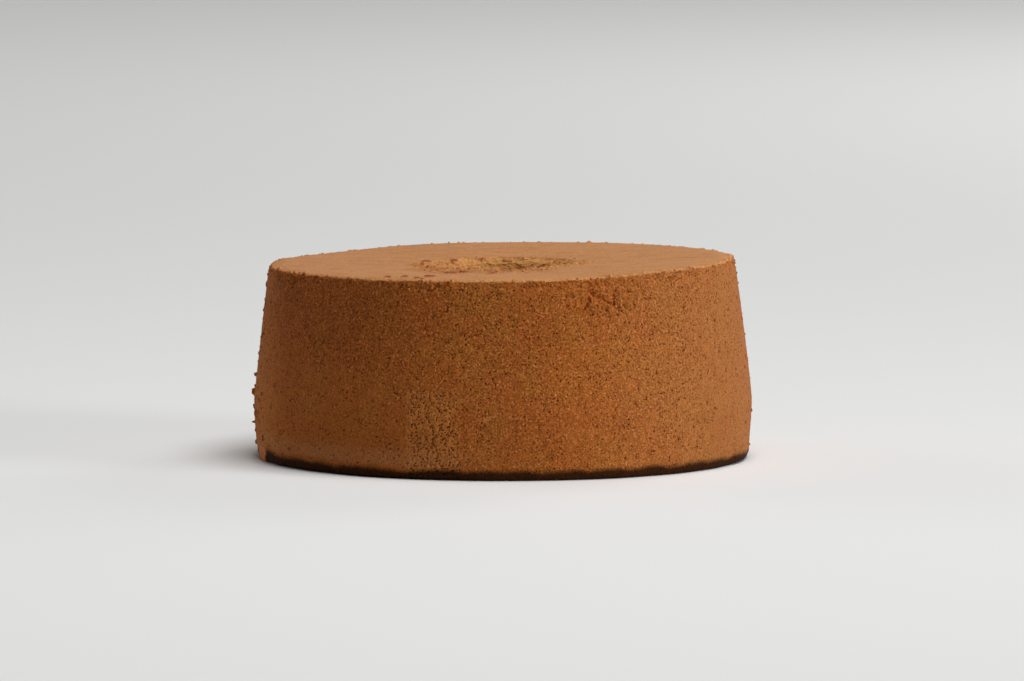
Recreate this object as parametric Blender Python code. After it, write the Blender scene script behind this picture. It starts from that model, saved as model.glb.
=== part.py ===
"""A whole angel food cake, turned out of its tube pan and standing upside down, as it is cooled and served.

It is one solid: a ring of foam cake whose flat, narrow face was the pan's floor and is now the top. The
side tapers outwards to the swollen shoulder where the batter rose, and the foot under it is flat where it
rests. The hole that the pan's tube left goes right through, with a torn collar round its upper mouth.

Metres, +Z up. The origin is on the resting face, at the centre of the cake's bounding box. -Y is the front.
"""

import math

import bmesh
import bpy
from mathutils import Vector, noise

# The tube pan's sizes, which the cake takes from it.
CAKE_HEIGHT = 0.1004  # flat top to resting face, along the axis
TOP_RADIUS = 0.1187  # the flat top, which was the pan's floor
SHOULDER_RADIUS = 0.1268  # the widest ring, where the batter met the pan's wall highest
FOOT_RADIUS = 0.1220  # the flat ring that the cake rests on
HOLE_TOP_RADIUS = 0.0315  # the tube at the pan's floor
HOLE_FOOT_RADIUS = 0.0225  # the tube near its tip

# The rounded edges between those faces.
RIM_ROUNDING = 0.0026
COLLAR_WIDTH = 0.0085  # the torn ledge that leads from the top into the hole
COLLAR_DROP = 0.0038
SHOULDER_HEIGHT = 0.0300  # where the side is widest
SHOULDER_ROLL = 0.0046  # height of the undercut edge below the side
WAIST_RADIUS = 0.1254  # the side just above that edge
LOWER_BOW = 2.0  # how roundly the side bends below its widest ring
UPPER_BOW = 1.1  # how nearly straight it is above
FOOT_ROUNDING = 0.0045  # the hole's lower mouth

# The unevenness of a cake that was turned out by hand.
LEAN_RIGHT = 0.0185  # rise of the top for each metre towards +X
LEAN_BACK = 0.0040  # rise of the top for each metre towards +Y
TOP_SAG = 0.0016  # how far the top has sunk at the collar
SAG_START = 0.92  # share of the top's radius where it begins to sink
SIDE_WAVES = ((2, 0.00035, 0.7), (3, 0.00040, 2.1), (5, 0.00025, 4.0), (9, 0.00018, 1.2))
TOP_WAVES = ((2, 0.00025, 1.1), (3, 0.00030, 3.0), (5, 0.00020, 5.1), (7, 0.00015, 0.4))
FOOT_WAVES = ((3, 0.0004, 0.9), (7, 0.0003, 2.6), (13, 0.0002, 4.4), (23, 0.0002, 1.7))

# Where each unevenness comes in: shares of the top's radius, then shares of the height.
SIDE_REACH = (0.70, 0.95)
SIDE_RISE = (0.00, 0.30)
FOOT_RISE = (0.02, 0.15)
TOP_RISE = (0.85, 1.00)
COLLAR_RISE = (0.82, 0.93)
WALL_RISE = (0.03, 0.12)
RIM_RISE = (0.93, 0.98)

# Torn crumb: how deep it is, and the size of its lumps.
TORN_DEPTH = 0.0022
TORN_LOSS = 0.15  # share of that depth by which more is torn off than stands up
TORN_LUMP = 0.0065
TORN_OUTER_RADIUS = 0.0420
TORN_FADE = 0.0050
WALL_DEPTH = 0.0009
WALL_LUMP = 0.0090
RIM_CRAG = 0.0007
RIM_LUMP = 0.0060
COARSE_SHARE = 0.7  # strength of the lumps themselves
FINE_SHARE = 0.5  # strength of the smaller lumps on them
FINE_RATIO = 2.1  # how many times smaller those are
SEED_SHIFT = Vector((3.17, 1.93, 7.41))  # where in the noise field this cake's crumb lies

CRUST_BROWN = (0.26, 0.10, 0.035, 1)
CRUST_ROUGHNESS = 0.85

# How finely the solid is faceted.
STEPS_AROUND = 168
BASE_STEPS = 3
SHOULDER_STEPS = 3
SIDE_STEPS = 7
RIM_STEPS = 3
TOP_STEPS = 5
APRON_STEPS = 3
APRON_WIDTH = 0.0090  # the part of the top next to the collar, which is faceted more finely
COLLAR_STEPS = 4
WALL_STEPS = 5
MOUTH_STEPS = 2
SHARP_FROM = math.radians(50)


def clear_scene():
    for thing in list(bpy.data.objects):
        bpy.data.objects.remove(thing, do_unlink=True)


def straight(start, end, steps):
    """Points from start up to but not including end."""
    return [
        (start[0] + (end[0] - start[0]) * i / steps, start[1] + (end[1] - start[1]) * i / steps)
        for i in range(steps)
    ]


def arc(centre, radii, first_deg, last_deg, steps):
    """Points on an ellipse's arc, up to but not including its last one."""
    turned = (math.radians(first_deg + (last_deg - first_deg) * i / steps) for i in range(steps))
    return [(centre[0] + radii[0] * math.cos(t), centre[1] + radii[1] * math.sin(t)) for t in turned]


def bowed_side():
    """The side from the shoulder's edge to the rim: nearly straight, with its widest ring low down."""
    points = []
    for i in range(SIDE_STEPS):
        z = SHOULDER_ROLL + (CAKE_HEIGHT - RIM_ROUNDING - SHOULDER_ROLL) * i / SIDE_STEPS
        if z < SHOULDER_HEIGHT:
            share = (SHOULDER_HEIGHT - z) / (SHOULDER_HEIGHT - SHOULDER_ROLL)
            points.append((SHOULDER_RADIUS - (SHOULDER_RADIUS - WAIST_RADIUS) * share**LOWER_BOW, z))
        else:
            share = (z - SHOULDER_HEIGHT) / (CAKE_HEIGHT - RIM_ROUNDING - SHOULDER_HEIGHT)
            points.append((SHOULDER_RADIUS + (TOP_RADIUS - SHOULDER_RADIUS) * share**UPPER_BOW, z))
    return points


def cake_outline():
    """The ring's cross-section as a closed loop of (radius, height), anticlockwise from the hole's foot."""
    rim_centre = (TOP_RADIUS - RIM_ROUNDING, CAKE_HEIGHT - RIM_ROUNDING)
    collar_edge = HOLE_TOP_RADIUS + COLLAR_WIDTH
    apron_edge = collar_edge + APRON_WIDTH
    collar_centre = (collar_edge, CAKE_HEIGHT - COLLAR_DROP)
    mouth_centre = (HOLE_FOOT_RADIUS + FOOT_ROUNDING, FOOT_ROUNDING)
    roll = (WAIST_RADIUS - FOOT_RADIUS, SHOULDER_ROLL)
    return [
        *straight((mouth_centre[0], 0), (FOOT_RADIUS, 0), BASE_STEPS),
        *arc((FOOT_RADIUS, SHOULDER_ROLL), roll, -90, 0, SHOULDER_STEPS),
        *bowed_side(),
        *arc(rim_centre, (RIM_ROUNDING, RIM_ROUNDING), 0, 90, RIM_STEPS),
        *straight((rim_centre[0], CAKE_HEIGHT), (apron_edge, CAKE_HEIGHT), TOP_STEPS),
        *straight((apron_edge, CAKE_HEIGHT), (collar_edge, CAKE_HEIGHT), APRON_STEPS),
        *arc(collar_centre, (COLLAR_WIDTH, COLLAR_DROP), 90, 180, COLLAR_STEPS),
        *straight((HOLE_TOP_RADIUS, collar_centre[1]), (HOLE_FOOT_RADIUS, FOOT_ROUNDING), WALL_STEPS),
        *arc(mouth_centre, (FOOT_ROUNDING, FOOT_ROUNDING), 180, 270, MOUTH_STEPS),
    ]


def spun(outline, steps):
    """A bmesh of the outline turned once round Z, as a closed ring."""
    ring = bmesh.new()
    loop = [ring.verts.new((radius, 0, height)) for radius, height in outline]
    edges = [ring.edges.new((a, b)) for a, b in zip(loop, loop[1:] + loop[:1])]
    bmesh.ops.spin(
        ring, geom=loop + edges, cent=(0, 0, 0), axis=(0, 0, 1), angle=math.tau, steps=steps, use_merge=True
    )
    bmesh.ops.recalc_face_normals(ring, faces=ring.faces)
    return ring


def eased(value, span):
    """0 below the span, 1 above it, and a smooth rise within it."""
    share = min(1.0, max(0.0, (value - span[0]) / (span[1] - span[0])))
    return share * share * (3 - 2 * share)


def waves(angle, terms):
    """A slow wobble round the cake: one sine for each (count, size, phase)."""
    return sum(size * math.sin(count * angle + phase) for count, size, phase in terms)


def lumps(point, lump):
    """Crumb-like unevenness from -1 to 1, in lumps of about that size and of half of it."""
    place = point / lump + SEED_SHIFT
    return COARSE_SHARE * noise.noise(place) + FINE_SHARE * noise.noise(place * FINE_RATIO)


def pan_form(point):
    """How far hand and heat moved the pan's plain form at this point."""
    radius = math.hypot(point.x, point.y)
    angle = math.atan2(point.y, point.x)
    outwards = Vector((point.x, point.y, 0)) / radius
    rise = point.z / CAKE_HEIGHT
    bulge = waves(angle, SIDE_WAVES) * eased(rise, SIDE_RISE)
    bulge += waves(angle, FOOT_WAVES) * (1 - eased(rise, FOOT_RISE))
    moved = outwards * bulge * eased(radius / TOP_RADIUS, SIDE_REACH)
    moved.z += rise * (LEAN_RIGHT * point.x + LEAN_BACK * point.y)
    moved.x -= rise * LEAN_RIGHT * point.z / 2
    sunk = 1 - eased(radius, (HOLE_TOP_RADIUS, SAG_START * TOP_RADIUS))
    moved.z += eased(rise, TOP_RISE) * (waves(angle, TOP_WAVES) * radius / TOP_RADIUS - TOP_SAG * sunk)
    return moved


def torn_crumb(point, outwards_normal):
    """The ragged collar and wall of the hole, and the rim's crags, as a shift along the surface's normal."""
    radius = math.hypot(point.x, point.y)
    rise = point.z / CAKE_HEIGHT
    in_hole = 1 - eased(radius, (TORN_OUTER_RADIUS - TORN_FADE, TORN_OUTER_RADIUS + TORN_FADE))
    collar = in_hole * eased(rise, COLLAR_RISE)
    wall = in_hole * (1 - collar) * eased(rise, WALL_RISE)
    rim = eased(radius, (TOP_RADIUS - 2 * RIM_ROUNDING, TOP_RADIUS)) * eased(rise, RIM_RISE)
    depth = collar * TORN_DEPTH * (lumps(point, TORN_LUMP) - TORN_LOSS)
    depth += wall * WALL_DEPTH * lumps(point, WALL_LUMP)
    depth += rim * RIM_CRAG * lumps(point, RIM_LUMP)
    return outwards_normal * depth


def shape_by_hand(ring):
    """Moves every point off the resting face by the cake's unevenness."""
    ring.normal_update()
    shifts = {
        vertex: pan_form(vertex.co) + torn_crumb(vertex.co, vertex.normal)
        for vertex in ring.verts
        if vertex.co.z > 0
    }
    for vertex, shift in shifts.items():
        vertex.co += shift


def centre_on_base(ring):
    """Puts the middle of the bounding box on the Z axis."""
    xs = [vertex.co.x for vertex in ring.verts]
    ys = [vertex.co.y for vertex in ring.verts]
    middle = Vector(((min(xs) + max(xs)) / 2, (min(ys) + max(ys)) / 2, 0))
    bmesh.ops.translate(ring, verts=ring.verts, vec=-middle)
    return middle


def crust_material():
    material = bpy.data.materials.new("browned_crust")
    material.use_nodes = True
    shader = material.node_tree.nodes["Principled BSDF"]
    shader.inputs["Base Color"].default_value = CRUST_BROWN
    shader.inputs["Roughness"].default_value = CRUST_ROUGHNESS
    shader.inputs["Metallic"].default_value = 0.0
    return material


def make_cake():
    ring = spun(cake_outline(), STEPS_AROUND)
    shape_by_hand(ring)
    middle = centre_on_base(ring)
    print(f"the bounding box's middle was at {middle.x * 1000:.2f}, {middle.y * 1000:.2f} mm")
    mesh = bpy.data.meshes.new("cake")
    ring.to_mesh(mesh)
    ring.free()
    mesh.shade_smooth()
    mesh.set_sharp_from_angle(angle=SHARP_FROM)
    mesh.materials.append(crust_material())
    cake = bpy.data.objects.new("cake", mesh)
    bpy.context.scene.collection.objects.link(cake)
    return cake


def main():
    clear_scene()
    cake = make_cake()
    size = cake.dimensions
    print(f"cake: {len(cake.data.polygons)} faces, {size.x:.4f} x {size.y:.4f} x {size.z:.4f} m")


main()
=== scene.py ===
# %% [markdown]
# # An angel food cake, from the pan's outline to the last loose crumb
#
# A tube cake is baked in a tall ring pan, hung upside down to cool, and turned out. What was the pan's
# floor is then the flat top, the pan's tube leaves a hole, and wherever the skin sticks to the metal it
# tears and shows the golden crumb under it.
#
# This lesson builds that cake on a finished solid of the right size. The solid holds the place; every
# surface here follows the same outline, much more finely, and adds what an oven does: pores, crags, tears
# and browning.

# %% Load the solid that holds the cake's place
import math

import bpy
import numpy as np
from mathutils import Matrix, Vector


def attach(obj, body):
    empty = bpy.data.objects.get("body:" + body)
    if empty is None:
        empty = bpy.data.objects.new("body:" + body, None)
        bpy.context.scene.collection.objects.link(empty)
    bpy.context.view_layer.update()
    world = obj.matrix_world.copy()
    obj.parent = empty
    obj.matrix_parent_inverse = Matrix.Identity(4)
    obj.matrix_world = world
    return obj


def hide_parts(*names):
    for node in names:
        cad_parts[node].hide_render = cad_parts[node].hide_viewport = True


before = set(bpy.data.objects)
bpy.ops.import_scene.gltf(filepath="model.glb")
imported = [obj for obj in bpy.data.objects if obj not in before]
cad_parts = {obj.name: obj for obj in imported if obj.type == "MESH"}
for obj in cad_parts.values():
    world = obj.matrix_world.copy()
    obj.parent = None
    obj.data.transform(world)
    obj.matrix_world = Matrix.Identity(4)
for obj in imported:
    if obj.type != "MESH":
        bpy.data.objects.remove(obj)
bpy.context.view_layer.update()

# %% [markdown]
# ## The outline that the pan gave
#
# A ring cake is one outline turned round an axis, so its sizes are few: radii and heights, in metres. They
# are the solid's own sizes. Each stretch of the outline is a small function from a share, 0 to 1, to a
# radius and a height, so that any stretch can be walked in steps as fine as its surface needs.

# %% The pan's sizes
CAKE_HEIGHT = 0.1004
TOP_RADIUS = 0.1187
RIM_ROUNDING = 0.0026
SHOULDER_RADIUS, SHOULDER_HEIGHT = 0.1268, 0.0300  # the widest ring
WAIST_RADIUS, SHOULDER_ROLL = 0.1254, 0.0046  # where the side begins to roll under the cake
FOOT_RADIUS = 0.1220  # where it has rolled under and rests on the table
LOWER_BOW, UPPER_BOW = 2.0, 1.1  # how bowed the side is under and over the widest ring; 1 is straight
HOLE_TOP_RADIUS, HOLE_FOOT_RADIUS = 0.0315, 0.0225
COLLAR_WIDTH, COLLAR_DROP = 0.0085, 0.0038  # the rounded, torn mouth of the hole
FOOT_ROUNDING = 0.0045  # of the hole's lower end

TOP_SEAM_RADIUS = 0.1127  # where the side's piece meets the top's
TORN_SEAM_RADIUS = 0.0470  # where the top's piece meets the hole's
BASE_SEAM_RADIUS = 0.0600  # where the hole's piece meets the side's, on the resting face
print(f"pan: {2 * SHOULDER_RADIUS * 1000:.0f} mm across, {CAKE_HEIGHT * 1000:.0f} mm deep")

# %% The outline's stretches
def straight(start, end):
    return lambda share: (start[0] + (end[0] - start[0]) * share, start[1] + (end[1] - start[1]) * share)


def arc(centre, radii, first_deg, last_deg):
    def point(share):
        turned = math.radians(first_deg + (last_deg - first_deg) * share)
        return centre[0] + radii[0] * math.cos(turned), centre[1] + radii[1] * math.sin(turned)

    return point


def bowed_side(share):
    """Nearly straight from the rim down to the widest ring, then rounding in towards the foot."""
    rim = CAKE_HEIGHT - RIM_ROUNDING
    z = SHOULDER_ROLL + (rim - SHOULDER_ROLL) * share
    if z < SHOULDER_HEIGHT:
        below = (SHOULDER_HEIGHT - z) / (SHOULDER_HEIGHT - SHOULDER_ROLL)
        return SHOULDER_RADIUS - (SHOULDER_RADIUS - WAIST_RADIUS) * below**LOWER_BOW, z
    above = (z - SHOULDER_HEIGHT) / (rim - SHOULDER_HEIGHT)
    return SHOULDER_RADIUS + (TOP_RADIUS - SHOULDER_RADIUS) * above**UPPER_BOW, z


def walked(*stretches):
    """Points along several stretches, each given with its number of steps; the last one's end is included."""
    points = [stretch(i / steps) for stretch, steps in stretches for i in range(steps)]
    return np.array([*points, stretches[-1][0](1.0)])


collar_edge = HOLE_TOP_RADIUS + COLLAR_WIDTH
collar_foot = CAKE_HEIGHT - COLLAR_DROP
mouth_edge = HOLE_FOOT_RADIUS + FOOT_ROUNDING
print("stretches: base, roll, side, rim, top, collar and wall")

# %% [markdown]
# ## How fine is fine enough
#
# The pores in the crust are about a millimetre wide. A pore needs two or three faces across, so the mesh
# has a point about every half millimetre. One mesh that fine would be far too heavy, so the side
# is made as four quarters, and the top, the torn collar and the wall of the hole are pieces of their own.
# They all follow the same rules, which depend only on where a point lies, so they meet without a step.

# %% How finely each piece is stepped
coarse = 1
QUARTER_STEPS = 404 // coarse
RING_STEPS = 2 * QUARTER_STEPS  # every second point of the side's rim meets one of the top's
COLLAR_DEPTH = 0.0100  # how far down the hole the collar's piece reaches
FOOT_STRIP = 0.0040  # the resting face's outer strip, which is stepped more finely

wall_top = (HOLE_TOP_RADIUS, collar_foot)
wall_foot = (HOLE_FOOT_RADIUS, FOOT_ROUNDING)
collar_share = COLLAR_DEPTH / (collar_foot - FOOT_ROUNDING)
collar_end = straight(wall_top, wall_foot)(collar_share)
strip_start = (FOOT_RADIUS - FOOT_STRIP, 0)
rim_start = TOP_RADIUS - RIM_ROUNDING
side_line = walked(  # each stretch with its number of steps
    (straight((BASE_SEAM_RADIUS, 0), strip_start), 6),
    (straight(strip_start, (FOOT_RADIUS, 0)), 4),
    (arc((FOOT_RADIUS, SHOULDER_ROLL), (WAIST_RADIUS - FOOT_RADIUS, SHOULDER_ROLL), -90, 0), 14 // coarse),
    (bowed_side, 188 // coarse),
    (arc((rim_start, CAKE_HEIGHT - RIM_ROUNDING), (RIM_ROUNDING, RIM_ROUNDING), 0, 90), 10 // coarse),
    (straight((rim_start, CAKE_HEIGHT), (TOP_SEAM_RADIUS, CAKE_HEIGHT)), 7 // coarse),
)
top_line = walked((straight((TOP_SEAM_RADIUS, CAKE_HEIGHT), (TORN_SEAM_RADIUS, CAKE_HEIGHT)), 110 // coarse))
collar_line = walked(
    (straight((TORN_SEAM_RADIUS, CAKE_HEIGHT), (collar_edge, CAKE_HEIGHT)), 22 // coarse),
    (arc((collar_edge, collar_foot), (COLLAR_WIDTH, COLLAR_DROP), 90, 180), 30 // coarse),
    (straight(wall_top, collar_end), 28 // coarse),
)
wall_line = walked(
    (straight(collar_end, wall_foot), 96 // coarse),
    (arc((mouth_edge, FOOT_ROUNDING), (FOOT_ROUNDING, FOOT_ROUNDING), 180, 270), 6),
    (straight((mouth_edge, 0), (BASE_SEAM_RADIUS, 0)), 6),
)
lines = {"side": side_line, "top": top_line, "collar": collar_line, "wall": wall_line}
for name, line in lines.items():
    print(f"{name}: {len(line)} rows, {np.hypot(*np.diff(line, axis=0).T).sum() * 1000:.0f} mm long")

# %% [markdown]
# ## The outlines as objects
#
# A Geometry Nodes tree can read another object, so each outline is drawn once as a loop of edges. Every
# point carries a few numbers as attributes: its radius and height, which way is outwards there, and whether
# it lies on the cake's skin. The loop is closed by a few points a little way inside the cake, which turns
# each piece into a closed shell instead of a paper-thin sheet.

# %% Draw an outline with its attributes
SHELL = 0.0050  # how thick each piece's shell is
HIDDEN_POINTS = 7  # how many of the loop's points lie inside the cake
HIDDEN_SHARE = 0.03  # share of the unrolled map that the shell's hidden side gets


def outwards(line):
    """The outward direction at every point of a line that runs anticlockwise round the cross-section."""
    along = np.gradient(line, axis=0)
    turned = np.stack([along[:, 1], -along[:, 0]], axis=1)
    return turned / np.hypot(*turned.T)[:, None]


def outline_object(name, line):
    facing = outwards(line)
    picked = np.linspace(len(line) - 1, 0, HIDDEN_POINTS).round().astype(int)
    hidden = line[picked] - SHELL * facing[picked]
    points = np.concatenate([line, hidden])
    walk = np.concatenate([[0], np.cumsum(np.hypot(*np.diff(line, axis=0).T))])
    along = np.concatenate([
        (1 - HIDDEN_SHARE) * walk / walk[-1],
        1 - HIDDEN_SHARE * (1 - np.arange(1, HIDDEN_POINTS + 1) / (HIDDEN_POINTS + 1)),
    ])
    mesh = bpy.data.meshes.new(name)
    ring = [(i, (i + 1) % len(points)) for i in range(len(points))]
    mesh.from_pydata([(r, 0, z) for r, z in points], ring, [])
    numbers = {
        "ring_radius": points[:, 0],
        "ring_height": points[:, 1],
        "out_radial": np.concatenate([facing[:, 0], facing[picked, 0]]),
        "out_up": np.concatenate([facing[:, 1], facing[picked, 1]]),
        "skin": np.concatenate([np.ones(len(line)), np.zeros(HIDDEN_POINTS)]),
        "along": along,
    }
    for key, values in numbers.items():
        mesh.attributes.new(key, "FLOAT", "POINT").data.foreach_set("value", values.astype(np.float32))
    drawn = bpy.data.objects.new(name, mesh)
    bpy.context.scene.collection.objects.link(drawn)
    return drawn


outlines = {name: outline_object(f"{name}_outline", line) for name, line in lines.items()}
print("outlines drawn:", {key: len(drawn.data.vertices) for key, drawn in outlines.items()})

# %% [markdown]
# ## Reckoning with nodes
#
# A crust is a sum of many small rules. Written out as single Math nodes they are hard to read, so this
# small class lets a node's output be added and multiplied like a number. Each sign in a formula still
# becomes one Math node, which can be looked at in the editor afterwards. It works in geometry trees and in
# materials.

# %% A socket that can be reckoned with
class Field:
    def __init__(self, tree, socket):
        self.tree, self.socket = tree, socket

    def reckon(self, operation, *others):
        return put(self.tree, "ShaderNodeMath", dict(enumerate((self, *others))), operation=operation)

    def __add__(self, other):
        return self.reckon("ADD", other)

    def __sub__(self, other):
        return self.reckon("SUBTRACT", other)

    def __mul__(self, other):
        return self.reckon("MULTIPLY", other)

    def __truediv__(self, other):
        return self.reckon("DIVIDE", other)

    def __rsub__(self, other):
        return put(self.tree, "ShaderNodeMath", {0: other, 1: self}, operation="SUBTRACT")

    __radd__ = __add__
    __rmul__ = __mul__

    def clamped(self):
        """The same number, kept between 0 and 1."""
        return put(self.tree, "ShaderNodeClamp", {"Value": self})


def put(tree, kind, feeds=None, out=0, **settings):
    """Adds one node, feeds its inputs by name or number, and returns one of its outputs."""
    node = tree.nodes.new(kind)
    node.location = (len(tree.nodes) % 14 * 190, len(tree.nodes) // 14 * -210)
    for name, value in settings.items():
        setattr(node, name, value)
    for key, value in (feeds or {}).items():
        if isinstance(value, Field):
            tree.links.new(value.socket, node.inputs[key])
        else:
            node.inputs[key].default_value = value
    return Field(tree, node.outputs[out])


print("a sum of two sockets is now one line")

# %% Rules that both trees and materials use
def eased(value, low, high):
    """0 below low, 1 above high, and a smooth rise between them."""
    feeds = {"Value": value, "From Min": low, "From Max": high}
    return put(value.tree, "ShaderNodeMapRange", feeds, interpolation_type="SMOOTHSTEP")


def faded(value, low, high):
    """1 below low, 0 above high, and a smooth fall between them."""
    return 1 - eased(value, low, high)


def band(value, start, full, waning, end):
    """0 outside start and end, 1 between full and waning, and smooth between those."""
    return eased(value, start, full) * faded(value, waning, end)


def cloud(place, size, detail=1.0):
    """Soft noise round 0, from about -1 to 1, whose lumps are about that size."""
    feeds = {"Vector": place, "Scale": 1 / size, "Detail": detail}
    return (put(place.tree, "ShaderNodeTexNoise", feeds, out="Fac") - 0.5) * 2


def cells(place, size):
    """Distance to the nearest of many scattered points, and that point's three random numbers.

    The distance is in shares of the points' spacing.
    """
    feeds = {"Vector": place, "Scale": 1 / size, "Randomness": 1.0}
    distance = put(place.tree, "ShaderNodeTexVoronoi", feeds, out="Distance")
    return distance, *parts_of(Field(place.tree, distance.socket.node.outputs["Color"]))


def bubbles(place, size, amount, smallest, largest):
    """Round pits, 1 at their middle: what is left where baked bubbles broke at the surface."""
    distance, chance, width, _ = cells(place, size)
    edge = smallest + (largest - smallest) * width
    return faded(distance / edge, 0.35, 1.0) * chance.reckon("LESS_THAN", amount)


def at(tree, x, y, z):
    return put(tree, "ShaderNodeCombineXYZ", {0: x, 1: y, 2: z})


def vector(operation, first, second):
    """A vector reckoned from two vectors, or scaled by a number."""
    key = "Scale" if operation == "SCALE" else 1
    return put(first.tree, "ShaderNodeVectorMath", {0: first, key: second}, operation=operation)


def parts_of(place):
    """The x, y and z of a place, as three fields."""
    first = put(place.tree, "ShaderNodeSeparateXYZ", {0: place})
    outputs = first.socket.node.outputs
    return first, Field(place.tree, outputs[1]), Field(place.tree, outputs[2])


def shaken(place, size, amount):
    """The same place moved a little by noise, so that what is read there loses its round, even outline."""
    feeds = {"Vector": place, "Scale": 1 / size, "Detail": 1.0}
    noise = put(place.tree, "ShaderNodeTexNoise", feeds, out="Color")
    centred = vector("SUBTRACT", noise, (0.5, 0.5, 0.5))
    return vector("ADD", place, vector("SCALE", centred, 2 * amount))


print("rules: eased, faded, band, cloud, cells, bubbles, shaken")

# %% [markdown]
# ## A new tree with named inputs
#
# A tree's sizes are inputs with names, so that the same tree makes a fine cake or a coarse one. Blender
# keeps a modifier's inputs under their identifiers and not under their names, so `grown` looks each one up.
# It then reads the finished shape back as a plain mesh and takes the modifier off.

# %% Make a tree, and grow a piece with it
KINDS = {
    int: "NodeSocketInt",
    float: "NodeSocketFloat",
    bool: "NodeSocketBool",
    str: "NodeSocketString",
    "object": "NodeSocketObject",
    "collection": "NodeSocketCollection",
}


def new_tree(name, inputs):
    """An empty Geometry Nodes tree and a dictionary of its inputs as fields."""
    tree = bpy.data.node_groups.new(name, "GeometryNodeTree")
    tree.interface.new_socket("Geometry", in_out="OUTPUT", socket_type="NodeSocketGeometry")
    for label, kind in inputs.items():
        tree.interface.new_socket(label, in_out="INPUT", socket_type=KINDS[kind])
    entry = tree.nodes.new("NodeGroupInput")
    return tree, {label: Field(tree, entry.outputs[label]) for label in inputs}


def finish_tree(tree, shape, material):
    """Ends a tree: real geometry in place of instances, and the material."""
    real = put(tree, "GeometryNodeRealizeInstances", {"Geometry": shape})
    dressed = put(tree, "GeometryNodeSetMaterial", {"Geometry": real, "Material": material})
    leave = tree.nodes.new("NodeGroupOutput")
    tree.links.new(dressed.socket, leave.inputs[0])
    return tree


def grown(tree, name, values):
    """A plain mesh object: what the tree makes from these input values."""
    piece = bpy.data.objects.new(name, bpy.data.meshes.new(name))
    bpy.context.scene.collection.objects.link(piece)
    modifier = piece.modifiers.new("grow", "NODES")
    modifier.node_group = tree
    for socket in tree.interface.items_tree:
        if socket.in_out == "INPUT":
            modifier[socket.identifier] = values[socket.name]
    evaluated = piece.evaluated_get(bpy.context.evaluated_depsgraph_get())
    mesh = bpy.data.meshes.new_from_object(evaluated)
    piece.modifiers.remove(modifier)
    piece.data = mesh
    mesh.name = name
    print(f"{name}: {sum(len(face.vertices) - 2 for face in mesh.polygons):,} triangles")
    return piece


# %% [markdown]
# ## Pores: where the bubbles broke
#
# A foam cake's crust is full of small pits, because the bubbles next to the pan broke open there. The same
# pits are needed twice: the tree presses them into the mesh, and the material paints shade into them, more
# sharply than the mesh can shade them. Both ask this one function, at the place on the pan's plain form, so
# relief and painted shade always agree. The bubbles aren't spread evenly: slow clouds crowd them together and
# thin them out, and more of them broke higher up. The holes of the coarse patch, a mark further down, are a
# third size.

# %% Three sizes of pores, and how crowded they are
BIG_PORES, SMALL_PORES, PATCH_PORES = 0.0018, 0.0010, 0.00118  # their spacing
BIG_RADII, SMALL_RADII, PATCH_RADII = (0.14, 0.36), (0.22, 0.46), (0.30, 0.54)  # in shares of it
PORE_WOBBLE_SIZE, PORE_WOBBLE = 0.0007, 0.00026
CROWD_SIZE = 0.015  # how wide the clouds are that crowd the pores together
EVERY_CELL = 1.1  # an amount above 1 leaves no cell without a pore


def crust_pores(place):
    """Both sizes of pores at a place, 1 at a pore's middle."""
    rise = parts_of(place)[2] / CAKE_HEIGHT
    crowd = 0.50 + 0.60 * cloud(place, CROWD_SIZE, 1) + 0.25 * eased(rise, 0.25, 0.75)
    uneven = shaken(place, PORE_WOBBLE_SIZE, PORE_WOBBLE)
    big = bubbles(uneven, BIG_PORES, crowd - 0.05, *BIG_RADII)
    small = bubbles(uneven, SMALL_PORES, crowd + 0.05, *SMALL_RADII)
    return big, small


def patch_pores(place):
    """The close holes of the coarse patch."""
    uneven = shaken(place, PORE_WOBBLE_SIZE, PORE_WOBBLE)
    return bubbles(uneven, PATCH_PORES, EVERY_CELL, *PATCH_RADII)


print("big pores are up to", round(2 * BIG_RADII[1] * BIG_PORES * 1000, 1), "mm wide")

# %% [markdown]
# ## The colours of baking, with painted light and shade
#
# The side is a deep, warm brown, because the pan's thin wall is its hottest part. The top is a paler tan.
# Where the skin is torn off, the crumb is golden. One material serves all three: the tree that shapes the
# cake also writes how torn or how cracked each point is, where shade is painted in and where a highlight
# is painted along the rim, and the material mixes its browns by those numbers. An oven never browns
# evenly, so the browns are cloudy. Painted light and shade lie over them: painted shade makes the skin
# darkest and reddest high on the left, a painted rim light makes it lighter and more olive at the far
# left, a painted sheen makes it paler on the right, and two upright bands in front are painted a touch
# lighter and darker, where more and less light falls. The left of the top is painted a little darker,
# as shade.

# %% The cake's colours, as linear red, green and blue
SIDE_BROWN = (0.285, 0.079, 0.014, 1)
SIDE_OLIVE = (0.282, 0.090, 0.015, 1)
# a redder brown for the cloudy skin, also used for the painted shade that makes the upper left darker and
# redder
SIDE_RUST_AND_SHADE = (0.298, 0.074, 0.013, 1)
# painted sheen: the paler brown that the right of the side is mixed towards
PAINTED_SHEEN_BROWN = (0.350, 0.165, 0.060, 1)
APRON_ORANGE = (0.480, 0.165, 0.050, 1)
NET_BROWN = (0.380, 0.165, 0.068, 1)
# the coarse patch's own olive, also painted along the far left edge as rim light
PATCH_AND_LIT_EDGE_OLIVE = (0.365, 0.130, 0.030, 1)
TOP_TAN = (0.480, 0.212, 0.076, 1)
TOP_SHADE = (0.430, 0.180, 0.060, 1)
# painted highlight along the rim
RIM_HIGHLIGHT_TAN = (0.560, 0.262, 0.105, 1)
CRUMB_GOLD = (0.505, 0.250, 0.084, 1)
CRUMB_SHADE = (0.480, 0.220, 0.066, 1)
# painted shade in the gaps between the bare crumb's cells
CRUMB_GAP_SHADE = (0.430, 0.180, 0.045, 1)
# painted glow down the hole, for light that comes through the crumb
PAINTED_GLOW_ORANGE = (0.880, 0.350, 0.050, 1)
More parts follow.
